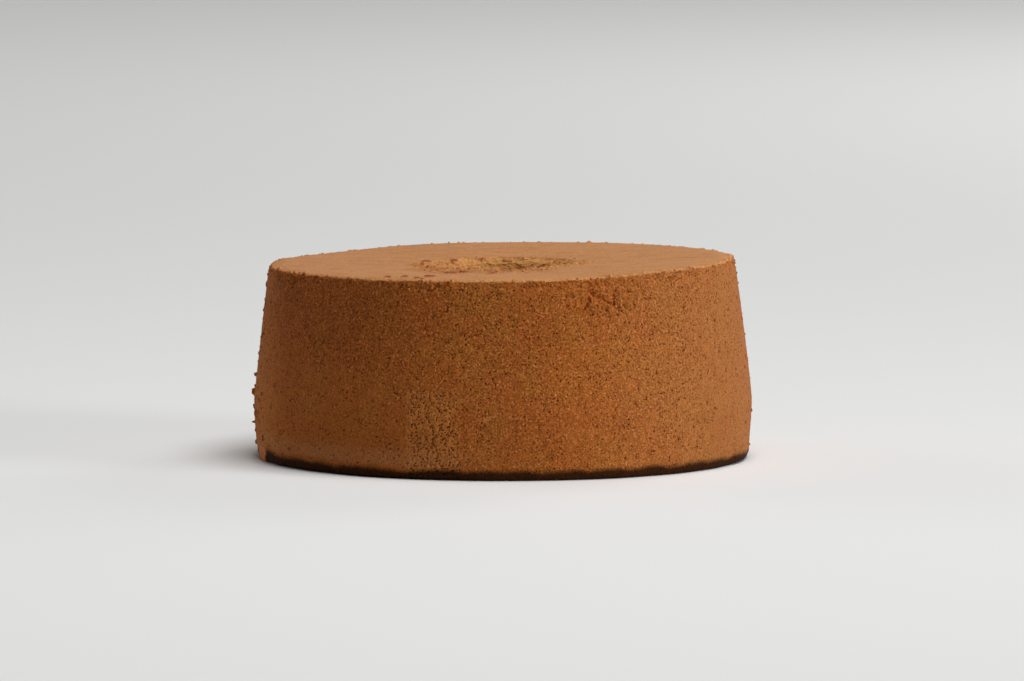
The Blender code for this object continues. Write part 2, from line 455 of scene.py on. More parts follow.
# painted shade in pores, cracks, hollows, under lifted bits and on crumb tips; also the colour of the darker
# hanging flakes
SHADE_AND_FLAKE_BROWN = (0.215, 0.024, 0.001, 1)
# the foot: dark burnt skin with painted shade of the fold under the cake
FOOT_BURNT_AND_SHADE = (0.030, 0.009, 0.002, 1)


def mixed(factor, first, second):
    """A colour between two, by a factor from 0 to 1."""
    node = factor.tree.nodes.new("ShaderNodeMix")
    node.data_type = "RGBA"
    for index, value in ((0, factor), (6, first), (7, second)):
        if isinstance(value, Field):
            factor.tree.links.new(value.socket, node.inputs[index])
        else:
            node.inputs[index].default_value = value
    return Field(factor.tree, node.outputs[2])


def number(tree, name):
    """What the shaping tree wrote under this name, read in a material."""
    return put(tree, "ShaderNodeAttribute", attribute_name=name, out="Fac")


print("browns from", SIDE_BROWN[:3], "to", TOP_TAN[:3])

# %% Where painted light and shade change the skin's brown, in places across the cake and up it
# painted sheen: from here to the right the side is painted paler
PAINTED_SHEEN_RIGHT = (0.030, 0.116)
# painted shade: high on the left the skin is painted darker and redder
SHADE_LEFT, SHADE_RISE = (-0.105, -0.020), (0.030, 0.090)  # high on the left it is darkest and reddest
# painted rim light: at the far left the skin is painted lighter and more olive
LIT_LEFT_EDGE = (-0.122, -0.106)
# painted light and shade: an upright band painted lighter low down, and one painted darker
LIT_BAND, LIT_BAND_TOP = (-0.085, -0.060, -0.055, -0.030), (0.060, 0.085)
SHADED_BAND = (-0.022, 0.0, 0.016, 0.036)
# painted shade: the left of the top is painted darker
SHADED_TOP_LEFT = (-0.080, 0.010)


def skin_colour(place, top):
    """The side's brown or the top's tan, both cloudy, with painted light and shade, and by how much it is
    lighter or darker there.
    """
    x, y, z = parts_of(place)
    side = 1 - top
    brown = mixed(eased(cloud(place, 0.018, 2), -0.25, 0.35), SIDE_BROWN, SIDE_OLIVE)
    brown = mixed(0.70 * eased(cloud(place, 0.009, 2), 0.0, 0.5), brown, SIDE_RUST_AND_SHADE)
    # painted sheen: the right of the side is mixed towards a paler brown
    brown = mixed(0.32 * eased(x, *PAINTED_SHEEN_RIGHT), brown, PAINTED_SHEEN_BROWN)
    # painted shade: high on the left the skin is darker and redder
    upper_left_shade = eased(z, *SHADE_RISE) * faded(x, *SHADE_LEFT) * side
    brown = mixed(0.60 * upper_left_shade, brown, SIDE_RUST_AND_SHADE)
    # painted rim light: the far left edge is mixed towards olive, and made lighter in tone
    brown = mixed(0.45 * faded(x, *LIT_LEFT_EDGE), brown, PATCH_AND_LIT_EDGE_OLIVE)
    tan = mixed(eased(cloud(place, 0.011, 3), -0.2, 0.5), TOP_TAN, TOP_SHADE)
    streaks = cloud(at(place.tree, x, y, 0.08 * z), 0.0028, 2)  # upright, where the pan let go
    # painted light and shade: two upright bands painted lighter and darker, the far left edge lighter, the
    # upper left darker
    painted_bands = 0.08 * band(x, *LIT_BAND) * faded(z, *LIT_BAND_TOP) - 0.06 * band(x, *SHADED_BAND)
    tone = (0.10 * streaks + painted_bands + 0.16 * faded(x, *LIT_LEFT_EDGE)) * side - 0.15 * upper_left_shade
    # painted shade: the left of the top is darker; the cloud is the skin's own uneven tone
    tone = tone + 0.07 * cloud(place, 0.030, 1) - 0.05 * faded(x, *SHADED_TOP_LEFT) * top
    return mixed(top, brown, tan), tone


print("the top is", round(TOP_TAN[1] / SIDE_BROWN[1], 1), "times as light as the side, in green")

# %% [markdown]
# ## Bare crumb, pores and grain
#
# Where the skin is gone, the foam shows. It is golden, with painted shade in the gaps between its cells.
# Down in the hole it is painted a glowing orange, for the little light that comes through the crumb there,
# and it is painted lighter on the right and in a band just below the mouth, as painted light. On the skin,
# three fine things lie over the slow browns: pores, painted darker than the skin round them as shade, light
# specks of skin between the pores, and a grain that makes each spot lighter or darker. The grain is weakest
# low on the left, where the skin is smoothest.

# %% Bare crumb, its painted light and shade, and the strength of the grain
CELL_SIZE = 0.0026  # width of the foam's cells
CELL_WOBBLE_SIZE, CELL_WOBBLE = 0.0012, 0.0005
# painted light on bare crumb: where it is painted lighter, across the cake and down the hole
CRUMB_LIT_RIGHT, CRUMB_LIT_DEEP = (0.0, 0.026), (0.0880, 0.0920, 0.0945, 0.0985)


def foam_cells(place):
    """How far a place is from the middle of its foam cell, in shares of the cells' spacing."""
    return cells(shaken(place, CELL_WOBBLE_SIZE, CELL_WOBBLE), CELL_SIZE)[0]


def crumb_colour(place, z):
    """Gold on top, painted shade in the gaps between the foam's cells, and a painted orange glow further down
    the hole.
    """
    gold = mixed(eased(cloud(place, 0.0022, 2), -0.35, 0.25), CRUMB_SHADE, CRUMB_GOLD)
    gold = mixed(0.35 * faded(foam_cells(place), 0.10, 0.50), gold, CRUMB_GAP_SHADE)
    return mixed(faded(z, 0.0860, 0.0970), gold, PAINTED_GLOW_ORANGE)


def painted_crumb_light(x, z):
    """How much lighter bare crumb is painted on the right and in a band just below the mouth, as painted
    light.
    """
    return 0.16 * eased(x, *CRUMB_LIT_RIGHT) + 0.32 * band(z, *CRUMB_LIT_DEEP)


def skin_grain(x, z):
    """How rough the side's skin looks, from 0 to 1."""
    rough = 0.30 + 0.70 * eased(x / TOP_RADIUS + 1.2 * z / CAKE_HEIGHT, -0.9, 0.4)
    return rough * (1 - 0.45 * eased(x, 0.085, 0.112))


print("foam cells are", CELL_SIZE * 1000, "mm wide")

# %% The one material of the cake
# How much of each mark's own colour is mixed in where that mark is at its strongest.
RIM_HIGHLIGHT_SHARE, PATCH_SHARE, SPECK_SHARE, SHADE_SHARE, HEM_SHARE = 0.35, 0.55, 0.44, 0.92, 0.35
SPECK_SIZE, GRAIN_WIDTH, MOTTLE_SIZE = 0.0009, 0.0009, 0.0028
SIDE_GRAIN, TOP_GRAIN = 0.88, 0.42  # how much the fine grain changes the colour's value
GRAIN_HOLLOW = 0.00060  # how deep pores and grain look, beyond the mesh
ROUGHNESS, SHINE = 0.90, 0.05
SHEEN, SHEEN_ROUGHNESS = 0.05, 0.25  # the soft, floury look of skin seen at a slant
MARKS = ("top_skin", "rubbed", "torn", "patch", "crack", "apron", "foot", "hem")


def new_material(name):
    material = bpy.data.materials.new(name)
    material.use_nodes = True
    return material


def finish_material(material, colour, value, height, hollow, sheen):
    """Ends a material: its colour at this value, a bump from this height, and a dry, dull surface."""
    tree = material.node_tree
    colour = put(tree, "ShaderNodeHueSaturation", {"Value": value, "Color": colour})
    bump = put(tree, "ShaderNodeBump", {"Strength": 1.0, "Distance": hollow, "Height": height})
    shader = tree.nodes["Principled BSDF"]
    tree.links.new(colour.socket, shader.inputs["Base Color"])
    tree.links.new(bump.socket, shader.inputs["Normal"])
    shader.inputs["Roughness"].default_value = ROUGHNESS
    shader.inputs["Specular IOR Level"].default_value = SHINE
    shader.inputs["Sheen Weight"].default_value = sheen
    shader.inputs["Sheen Roughness"].default_value = SHEEN_ROUGHNESS
    return material


def baked_material():
    material = new_material("baked_crust")
    tree = material.node_tree
    place = put(tree, "ShaderNodeAttribute", attribute_name="crust_place", out="Vector")
    top, rubbed, torn, patch, crack, apron, foot, hem = (number(tree, name) for name in MARKS)
    x, _, z = parts_of(place)
    rough, side, whole = skin_grain(x, z), 1 - top, 1 - torn
    colour, tone = skin_colour(place, top)
    # painted highlight along the rim
    colour = mixed(RIM_HIGHLIGHT_SHARE * rubbed, colour, RIM_HIGHLIGHT_TAN)
    colour = mixed(apron, colour, APRON_ORANGE)
    colour = mixed(PATCH_SHARE * patch, colour, PATCH_AND_LIT_EDGE_OLIVE)
    specks = rough * eased(cloud(place, SPECK_SIZE, 1), 0.12, 0.45) * side * whole * (1 - 0.3 * patch)
    colour = mixed(SPECK_SHARE * specks, colour, NET_BROWN)
    big, small = crust_pores(place)
    pores = (big + 0.80 * small) * (1 - 0.85 * top) * (1 - patch) + 0.95 * patch_pores(place) * patch
    # painted shade: pores, cracks, lifted bits, crumb tips and hollows are darkened towards a shade brown,
    # which also darkens the hanging flakes
    dark = (pores * whole + crack).clamped()
    colour = mixed(SHADE_SHARE * dark, mixed(torn, colour, crumb_colour(place, z)), SHADE_AND_FLAKE_BROWN)
    colour = mixed(HEM_SHARE * hem, colour, NET_BROWN)
    # the foot: dark burnt skin with painted shade of the fold under the cake
    colour = mixed(foot, colour, FOOT_BURNT_AND_SHADE)
    grain = cloud(place, GRAIN_WIDTH, 2)
    strength = (rough * SIDE_GRAIN * side + TOP_GRAIN * top) * (1 - 0.6 * torn)
    # painted light on bare crumb, and the painted light and shade held in tone, change the value
    value = 1 + tone + painted_crumb_light(x, z) * torn + strength * (grain + 0.3 * cloud(place, MOTTLE_SIZE, 2))
    height = 0.35 * grain * (1 - 0.7 * top) - dark
    return finish_material(material, colour, value, height, GRAIN_HOLLOW, SHEEN)


baked = baked_material()
print("material:", baked.name, len(baked.node_tree.nodes), "nodes")

# %% [markdown]
# ## The slow unevenness of a cake turned out by hand
#
# No real cake is a perfect ring. These are the solid's own rules: a few sine waves round the side and the
# top, a lean of about a degree, and a top that sags a little towards the hole. Waves whose counts share no
# factor never line up, so the eye can't find the pattern.

# %% The unevenness as numbers
LEAN_RIGHT = 0.0185
LEAN_BACK = 0.0040
TOP_SAG = 0.0016
SAG_START = 0.92
SIDE_WAVES = ((2, 0.00035, 0.7), (3, 0.00040, 2.1), (5, 0.00025, 4.0), (9, 0.00018, 1.2))
TOP_WAVES = ((2, 0.00025, 1.1), (3, 0.00030, 3.0), (5, 0.00020, 5.1), (7, 0.00015, 0.4))
FOOT_WAVES = ((3, 0.0004, 0.9), (7, 0.0003, 2.6), (13, 0.0002, 4.4), (23, 0.0002, 1.7))
MIDDLE = (0.00023, 0.00010)  # where the uneven ring's box has its middle


def waves(angle, terms):
    total = 0.0
    for count, size, phase in terms:
        total = total + (angle * count + phase).reckon("SINE") * size
    return total


def leaned(radius, height, angle, x, y):
    """How far outwards and up the pan's plain form has moved at this point."""
    rise = height / CAKE_HEIGHT
    bulge = waves(angle, SIDE_WAVES) * eased(rise, 0.0, 0.3)
    bulge = bulge + waves(angle, FOOT_WAVES) * band(rise, 0.0, 0.012, 0.02, 0.15)
    bulge = bulge * eased(radius / TOP_RADIUS, 0.70, 0.95)
    sunk = faded(radius, HOLE_TOP_RADIUS, SAG_START * TOP_RADIUS)
    lift = rise * (LEAN_RIGHT * x + LEAN_BACK * y)
    lift = lift + eased(rise, 0.85, 1.0) * (waves(angle, TOP_WAVES) * radius / TOP_RADIUS - TOP_SAG * sunk)
    return bulge, lift


print("waves round the side:", [count for count, size, phase in SIDE_WAVES])

# %% [markdown]
# ## Torn crumb round the hole
#
# The pan's tube holds the cake fast, and pulling it out tears a ragged collar of skin away. What shows is
# the inside of the foam: rounded cells pressed together, which Voronoi cells describe well. Round the
# collar, small hollows of skin have gone as well, with a little painted shade in them. They reach furthest
# in front, where the tube was pulled out at a slant. There crumbs stand up from the tear, their tips painted
# dark as shade, and the lip was pressed a little lower.

# %% Where the skin is torn
TORN_EDGE = 0.0372  # how far out the skin is torn off
TORN_RAGGED = 0.0120  # how much that edge wanders
HELD_LEFT, HELD_RIGHT = 0.0075, 0.0055  # how much less was torn at those two ends
BACK_REACH, FRONT_REACH = 0.0400, 0.0780  # how far out the hollows go
FRONT_BAND = (-0.052, -0.036, 0.016, 0.036)  # across the cake, where the tear reaches furthest
LIP_LUMP_SIZE = 0.0034
LIP_RISE = (0.0930, 0.0965)  # heights between which the lip of the hole begins
TOP_LEVEL = (0.0990, 0.0995)  # above these heights lies only the top


def in_front(x, y):
    """1 in front of the hole, where the tear reaches furthest."""
    return faded(y, -0.030, 0.010) * band(x, *FRONT_BAND)


def lip_lumps(place):
    """The noise that decides where round the collar a crumb stands up and where a hollow is torn."""
    return cloud(shaken(place, 0.0016, 0.0005), LIP_LUMP_SIZE, 2)


def torn_share(place, x, y, radius, height):
    """1 where the skin is gone, in the collar, in hollows round it and in spots down the hole.

    The hollows are also returned alone.
    """
    held = HELD_LEFT * faded(x, -0.032, -0.018) + HELD_RIGHT * eased(x, 0.022, 0.032)
    ragged = radius + held + TORN_RAGGED * cloud(place, 0.009, 3)
    collar = faded(ragged, TORN_EDGE - 0.0006, TORN_EDGE + 0.0006) * eased(height, 0.0800, 0.0860)
    reach = BACK_REACH + (FRONT_REACH - BACK_REACH) * in_front(x, y)
    level = 0.02 - 0.40 * eased(radius, TORN_EDGE - 0.001, reach)
    hollows = faded(lip_lumps(place) - level, -0.05, 0.03) * eased(height, 0.0950, 0.0970)
    hollows = hollows * faded(radius, reach - 0.002, reach + 0.004)
    wall = faded(radius, 0.0315, 0.0330) * band(height, 0.0010, 0.0040, 0.0880, 0.0950)
    wall = wall * eased(cloud(place, 0.0130, 3), 0.12, 0.20)
    return (collar + hollows + wall).clamped(), hollows


print("the skin is torn out to about", TORN_EDGE * 1000, "mm from the axis")

# %% The torn crumb's own relief
TORN_LOSS = 0.0007  # the skin's thickness
HOLLOW_LOSS = 0.0003  # how much deeper the hollows are
LUMP_SIZE, LUMP_HEIGHT = 0.0042, 0.0007
CELL_DEPTH = 0.0003
WALL_CALM = 0.40  # how much of that relief the hole's wall has
LIP_LUMP_HEIGHT = 0.0017
BACK_LIP = 0.12  # how much of it the lip has behind the hole
LIP_DROP = 0.0018  # how much lower the front lip was pressed


def foam_relief(place, height):
    """The bare foam's height: lumps with gaps pressed in between its rounded cells."""
    gaps = faded(foam_cells(place), 0.10, 0.55)
    foam = LUMP_HEIGHT * cloud(place, LUMP_SIZE, 2) - CELL_DEPTH * gaps - TORN_LOSS
    return foam * (WALL_CALM + (1 - WALL_CALM) * eased(height, 0.0850, 0.0930))


def raised_lip(place, x, y, radius, height):
    """Crumbs that the tear pulled up round the hole, most of them in front, where they reach far out."""
    front = BACK_LIP + (1 - BACK_LIP) * faded(y, -0.020, 0.015)
    near = faded(radius, 0.0420, 0.0520) * (0.12 + 0.88 * eased(radius, 0.0360, 0.0430))
    far = 0.85 * in_front(x, y) * faded(radius, 0.0620, 0.0780)
    far = far * eased(cloud(place, 0.014, 1), -0.35, 0.05)
    reach = near.reckon("MAXIMUM", far) * eased(radius, 0.0325, 0.0370) * eased(height, *LIP_RISE)
    return LIP_LUMP_HEIGHT * reach * eased(lip_lumps(place), -0.10, 0.50) * front


def pressed_lip(y, radius):
    """How much lower the front lip is."""
    return LIP_DROP * faded(y, -0.030, 0.0) * faded(radius, 0.0410, 0.0480)


def shaded_crumb_tips(place, x, y, radius, height):
    """1 on the tips of the crumbs in front of the hole, which are painted dark as shade."""
    share = in_front(x, y) * band(radius, 0.0400, 0.0440, 0.0740, 0.0800)
    return share * eased(lip_lumps(place), 0.08, 0.30) * eased(height, *TOP_LEVEL)


print("crumbs stand up to", LIP_LUMP_HEIGHT * 1000, "mm above the lip")

# %% [markdown]
# ## A coarse patch on the front
#
# The next few cells hold marks that belong to this one cake and follow no rule, so they are listed one by
# one. The first lies low on the front: skin came off with the pan there and left a net of close holes. Its
# left edge is sudden, as where a strip was pulled, and its right edge is ragged.

# %% The coarse patch
PATCH_LEFT, PATCH_RIGHT, PATCH_TOP = -0.0475, -0.0215, 0.0470
PATCH_DEPTH, PATCH_LOSS = 0.00075, 0.0001


def patch_share(place, x, y, height):
    """1 in the coarse patch."""
    wander = 0.005 * cloud(place, 0.007, 2)
    left = eased(x + 0.10 * wander, PATCH_LEFT, PATCH_LEFT + 0.0008)
    right = faded(x + wander, PATCH_RIGHT - 0.003, PATCH_RIGHT + 0.003)
    low = faded(height + wander, PATCH_TOP - 0.006, PATCH_TOP + 0.002)
    return left * right * low * faded(y, -0.09, -0.06)


print("the patch is", round((PATCH_RIGHT - PATCH_LEFT) * 1000), "mm wide")

# %% [markdown]
# ## Cracks and loose skin
#
# High on the right the skin has come loose from the crumb. It lies in soft lumps and is cracked. A crack is
# painted dark along its middle, as shade, and fades to both sides, so each one is a short line and the rule
# is the distance to it. Places are shaken by noise before they are compared with the lines, which makes the
# straight lines crooked.

# %% The cracks and the loose skin round them
CRACKS = (  # start and end, as places across and up the front, width and strength
    ((0.0438, 0.0931), (0.0546, 0.0866), 0.0010, 0.9),
    ((0.0563, 0.0909), (0.0563, 0.0859), 0.0009, 1.0),
    ((0.0443, 0.0901), (0.0413, 0.0836), 0.0011, 0.9),
    ((0.0440, 0.0975), (0.0440, 0.0945), 0.0012, 0.5),
    ((0.0394, 0.0902), (0.0394, 0.0872), 0.0010, 0.5),
    ((0.0325, 0.0917), (0.0354, 0.0904), 0.0010, 0.6),
    ((0.0497, 0.0876), (0.0546, 0.0796), 0.0007, 0.5),
    ((0.0830, 0.0962), (0.0880, 0.0968), 0.0009, 0.6),
    ((0.0930, 0.0975), (0.0985, 0.0955), 0.0009, 0.6),
)
# how strongly the cracks are cut in and painted with shade
CRACK_DEPTH, CRACK_SHADE_AND_DEPTH = 0.0008, 0.85
FRONT_ONLY = (-0.08, -0.06)  # how far forward the cracked skin ends
LOOSE_MIDDLE, LOOSE_REACH = (0.0520, 0.0900), (0.0240, 0.0120)
LOOSE_LUMP, LOOSE_GRAIN = (0.0042, 0.0011), (0.0018, 0.0005)  # size and height of each


def distance_to(x, z, start, end):
    """How far a point of the front lies from a short straight line on it."""
    run, rise = end[0] - start[0], end[1] - start[1]
    share = (((x - start[0]) * run + (z - start[1]) * rise) / (run**2 + rise**2)).clamped()
    across, up = x - start[0] - share * run, z - start[1] - share * rise
    return (across * across + up * up).reckon("SQRT")


def crack_share(place, y):
    """How deep the cracks are and how much shade is painted in them, up to 1, on the front only."""
    x, _, z = parts_of(shaken(place, 0.0020, 0.0014))
    deepest = 0.0
    for start, end, width, strength in CRACKS:
        along = strength * faded(distance_to(x, z, start, end), 0.10 * width, width)
        deepest = along.reckon("MAXIMUM", deepest)
    broken = 0.55 + 0.45 * eased(cloud(place, 0.0016, 2), -0.35, 0.15)
    return CRACK_SHADE_AND_DEPTH * deepest * broken * faded(y, *FRONT_ONLY)


def loose_skin(place, x, y, height):
    """The lumps of the skin that has come loose round the cracks."""
    across, up = (x - LOOSE_MIDDLE[0]) / LOOSE_REACH[0], (height - LOOSE_MIDDLE[1]) / LOOSE_REACH[1]
    loose = faded(across * across + up * up, 0.2, 1.0) * faded(y, *FRONT_ONLY)
    (lump_size, lump_height), (grain_size, grain_height) = LOOSE_LUMP, LOOSE_GRAIN
    lumps = lump_height * eased(cloud(place, lump_size, 2), -0.1, 0.4)
    return loose * (lumps + grain_height * cloud(place, grain_size, 2))


print(len(CRACKS), "cracks")

# %% [markdown]
# ## Lifted bits and hanging flakes
#
# Where the pan's floor held on, it lifted thin bits of the top's skin. They are painted dark, as the shade
# under their lifted edges, so from the camera they show as short dark dashes. On the left edge of the side a
# few flakes of skin hang loose and break the outline. Both are few enough to place one by one: a spot, a
# width and a ragged edge from noise are all that each one needs.

# %% Lifted bits on the top and flakes that hang on the side
BITS = (  # across and back on the top, and how wide
    (-0.0378, 0.0110, 0.0070),
    (-0.0240, 0.0260, 0.0048),
    (-0.0090, 0.0340, 0.0030),
    (0.0110, 0.0340, 0.0056),
    (0.0320, 0.0050, 0.0050),
    (0.0350, -0.0100, 0.0036),
    (-0.0368, -0.0280, 0.0044),
    (-0.0478, -0.0960, 0.0044),
    (-0.0412, -0.1050, 0.0040),
    (-0.0350, -0.0960, 0.0076),
    (-0.0255, -0.0700, 0.0080),
    (-0.0190, -0.0680, 0.0054),
    (-0.0560, -0.0970, 0.0046),
    (-0.0040, -0.0760, 0.0044),
)
BIT_HEIGHT = 0.0010
BIT_THINNESS = 4.0  # how much faster a bit ends to the front and back, squared
FLAKES = (  # direction in degrees and height, how wide, how tall, how far out
    (183.0, 0.0432, 0.0009, 0.0009, 0.0014),
    (182.8, 0.0342, 0.0010, 0.0023, 0.0016),
    (183.0, 0.0270, 0.0008, 0.0008, 0.0008),
    (182.6, 0.0181, 0.0008, 0.0007, 0.0016),
    (184.0, 0.0080, 0.0014, 0.0014, 0.0009),
    (185.0, 0.0232, 0.0012, 0.0012, 0.0004),
    (205.0, 0.0420, 0.0013, 0.0016, 0.0005),
)


def lifted_bits(place, height):
    """1 on the bits of skin that were lifted off the top's surface."""
    x, y, _ = parts_of(shaken(place, 0.0018, 0.0013))
    highest = 0.0
    for across, back, width in BITS:
        aside, beyond = x - across, y - back
        away = (aside * aside + BIT_THINNESS * beyond * beyond).reckon("SQRT")
        highest = faded(away, 0.30 * width, 0.55 * width).reckon("MAXIMUM", highest)
    return highest * eased(height, *TOP_LEVEL)


def hanging_flakes(place, angle, height):
    """How far the flakes on the side stand out, and 1 where there is one."""
    turned, up = angle + 0.010 * cloud(place, 0.0018, 1), height + 0.0010 * cloud(place, 0.0022, 1)
    furthest, share = 0.0, 0.0
    for direction, level, wide, tall, out in FLAKES:
        aside = (turned - math.radians(direction)) * (SHOULDER_RADIUS / wide)
        above = (up - level) / tall
        here = faded(aside * aside + above * above, 0.4, 1.0)
        furthest = (out * here).reckon("MAXIMUM", furthest)
        share = here.reckon("MAXIMUM", share)
    return furthest, share


print(len(BITS), "lifted bits and", len(FLAKES), "hanging flakes")

# %% [markdown]
# ## The foot's edge
#
# The skin is rolled under the cake at the foot, and the fold is dark, almost black: burnt skin, with painted
# shade of the fold under the cake. Its upper edge wanders, and just above it on the left runs a paler hem. At
# the far left a bit of skin wasn't rolled under: it hangs straight down to the table like an apron. Next to
# it the dark edge reaches a little higher, like a notch.

# %% The apron, the notch, the dark foot and its hem
APRON_FIRST, APRON_LAST, APRON_TOP = math.radians(189.0), math.radians(195.4), 0.0100
APRON_PUSH = 0.0016  # how far it stands proud of the rolled foot
APRON_EDGE = 0.02  # how softly its sides begin and end, in radians
NOTCH_FIRST, NOTCH_LAST, NOTCH_HEIGHT = math.radians(197.0), math.radians(208.0), 0.0018
FOOT_EDGE, HEM_BAND = (0.0032, 0.0068), (0.0060, 0.0085, 0.0100, 0.0190)


def apron_share(place, angle, height):
    """1 where the foot's skin hangs straight down."""
    ragged = angle + 0.032 * cloud(place, 0.005, 2)
    inside = band(ragged, APRON_FIRST - APRON_EDGE, APRON_FIRST, APRON_LAST, APRON_LAST + APRON_EDGE)
    return inside * faded(height + 0.002 * cloud(place, 0.004), APRON_TOP - 0.003, APRON_TOP)


def foot_marks(place, x, radius, height, angle, apron):
    """1 on the dark foot, burnt skin with painted shade, and 1 on the paler hem above it."""
    notch = band(angle, NOTCH_FIRST, NOTCH_FIRST + 0.015, NOTCH_FIRST + 0.05, NOTCH_LAST)
    edge = height + 0.0022 * cloud(place, 0.014, 2) - NOTCH_HEIGHT * notch
    foot = faded(edge, *FOOT_EDGE) * (1 - apron) * eased(radius, 0.1000, 0.1100)
    return foot, band(edge, *HEM_BAND) * faded(x, -0.060, 0.0)


print("the apron is", round((APRON_LAST - APRON_FIRST) * SHOULDER_RADIUS * 1000), "mm wide")

# %% [markdown]
# ## The relief of the whole crust
#
# Everything that stands proud of the pan's form or lies below it is added up here, in metres: soft pebbles
# a few millimetres wide, a finer grain, pores, the rim's crags and the marks above. The function also
# returns the masks, numbers from 0 to 1, which the material reads to choose its colours. Two more masks say
# how many loose bits a place carries; they are used further down, to scatter crumbs and flakes.

# %% The relief's smaller parts
PEBBLE_SIZE, PEBBLE_HEIGHT = 0.0036, 0.00014
GRAIN_SIZE, GRAIN_HEIGHT = 0.0011, 0.00016
BIG_PORE_DEPTH, SMALL_PORE_DEPTH = 0.00068, 0.00040
TOP_CALM = 0.26  # how much of that relief the top has
CRAG_SIZE, CRAG_HEIGHT = 0.0044, 0.0016
MOUTH_BAND = (-0.0430, -0.0360, 0.0330, 0.0390)  # across the cake, where crumbs lie round the collar
SHEDDING_SIDE = math.radians(186)  # the direction in which the side sheds most
RIM_BAND = (TOP_RADIUS - 0.0055, TOP_RADIUS - 0.001)
# painted shade on the crumb tips in front and in the hollows, and how dark the hanging flakes are
TIP_SHADE, FLAKE_DARKNESS, HOLLOW_SHADE = 0.40, 0.60, 0.12  # beside 1 for a crack or a lifted bit


def top_share(place, radius, height):
    """1 on the top, 0 on the side, with a slightly ragged line between them."""
    ragged = height + 0.0007 * cloud(place, 0.0025, 2)
    upper = eased(ragged, CAKE_HEIGHT - 0.0009, CAKE_HEIGHT - 0.0002)
    return (upper + eased(height, 0.0930, 0.0950) * faded(radius, 0.1090, 0.1160)).clamped()


def pitted_skin(place, patch, crack, on_top):
    """Pebbles and grain with pores, the patch's holes and the cracks taken out of them."""
    big, small = crust_pores(place)
    soft = PEBBLE_HEIGHT * cloud(place, PEBBLE_SIZE) + GRAIN_HEIGHT * cloud(place, GRAIN_SIZE, 2)
    pits = (big * BIG_PORE_DEPTH + small * SMALL_PORE_DEPTH) * (1 - patch)
    pits = pits + patch * (PATCH_LOSS + PATCH_DEPTH * patch_pores(place)) + crack * CRACK_DEPTH
    return (soft - pits) * (1 - (1 - TOP_CALM) * on_top)


def rim_crags(place, near_rim):
    """Chips and lumps along the rim."""
    chips = eased(cloud(place, CRAG_SIZE, 3), 0.05, 0.55) - 0.35
    return near_rim * CRAG_HEIGHT * (chips + 0.55 * cloud(place, CRAG_SIZE / 3, 2))


def loose_bits(x, y, angle, radius, height, on_top, near_rim):
    """How many crumbs lie round the collar, and how many flakes cling to the rim and the side."""
    near = faded(radius, 0.0400, 0.0480) * (0.25 - 0.10 * faded(y, -0.030, 0.010))
    crumbs = near + 0.6 * in_front(x, y) * band(radius, 0.0400, 0.0460, 0.0560, 0.0760)
    crumbs = crumbs * eased(radius, 0.0335, 0.0370) * eased(height, *LIP_RISE) * band(x, *MOUTH_BAND)
    leftward = faded((angle - SHEDDING_SIDE).reckon("ABSOLUTE"), 0.10, 0.45)
    side = (1 - on_top) * (0.06 + 0.30 * leftward) * eased(height, 0.0040, 0.0100)
    return crumbs, side + 0.5 * near_rim


print("the rim's crags are up to", CRAG_HEIGHT * 1000, "mm high")

# %% Add up the relief
def crust_relief(place, x, y, radius, height, angle):
    """Height of the relief above the pan's form, and the masks that colour it."""
    on_top = top_share(place, radius, height)
    near_rim = eased(radius, *RIM_BAND) * eased(height, 0.0930, 0.0985)
    torn, hollows = torn_share(place, x, y, radius, height)
    patch = patch_share(place, x, y, height)
    crack = crack_share(place, y)
    lifted = lifted_bits(place, height)
    hanging, flaked = hanging_flakes(place, angle, height)
    apron = apron_share(place, angle, height)
    crust = pitted_skin(place, patch, crack, on_top) + lifted * BIT_HEIGHT + hanging
    crust = crust + rim_crags(place, near_rim) + loose_skin(place, x, y, height)
    bare = foam_relief(place, height) - pressed_lip(y, radius)
    relief = crust * (1 - torn) + bare * torn - HOLLOW_LOSS * hollows
    relief = relief + raised_lip(place, x, y, radius, height)
    # painted shade: cracks, lifted bits, crumb tips and hollows are darkened, and so are the hanging flakes
    tips = shaded_crumb_tips(place, x, y, radius, height)
    dark = crack + lifted * (1 - 0.5 * torn)
    dark = dark + TIP_SHADE * tips + FLAKE_DARKNESS * flaked + HOLLOW_SHADE * hollows
    # painted highlight along the rim
    rubbed = eased(radius, 0.1080, 0.1160) * eased(height, 0.0992, 0.1000)
    foot, hem = foot_marks(place, x, radius, height, angle, apron)
    crumbs, flakes = loose_bits(x, y, angle, radius, height, on_top, near_rim)
    masks = {
        "top_skin": on_top,
        "rubbed": rubbed * eased(cloud(place, 0.006, 2), -0.4, 0.3),
        "torn": torn,
        "patch": patch,
        "crack": dark.clamped(),
        "apron": apron,
        "foot": foot,
        "hem": hem,
        "crumbs": crumbs,
        "flakes": flakes,
    }
    return relief, masks


print("relief and masks are one function of a place")

# %% [markdown]
# ## From an outline to cake
#
# The tree sweeps an outline round a path, which gives a shell with the right number of points, and then
# puts every point where it belongs: out by its radius, up by its height, moved by the slow unevenness and
# lifted by the relief along the outline's own outward direction. A sweep by itself could only repeat the
# outline; placing the points by rule lets each one differ. The hidden inner side isn't smoothed, so that it
# can't darken the seams.

# %% The tree that turns an outline into cake
def named(tree, name, kind="FLOAT"):
    return put(tree, "GeometryNodeInputNamedAttribute", {"Name": name}, data_type=kind)


def stored(shape, name, value, kind="FLOAT"):
    """The same shape with one more attribute."""
    feeds = {"Geometry": shape, "Name": name, "Value": value}
    return put(shape.tree, "GeometryNodeStoreNamedAttribute", feeds, data_type=kind)


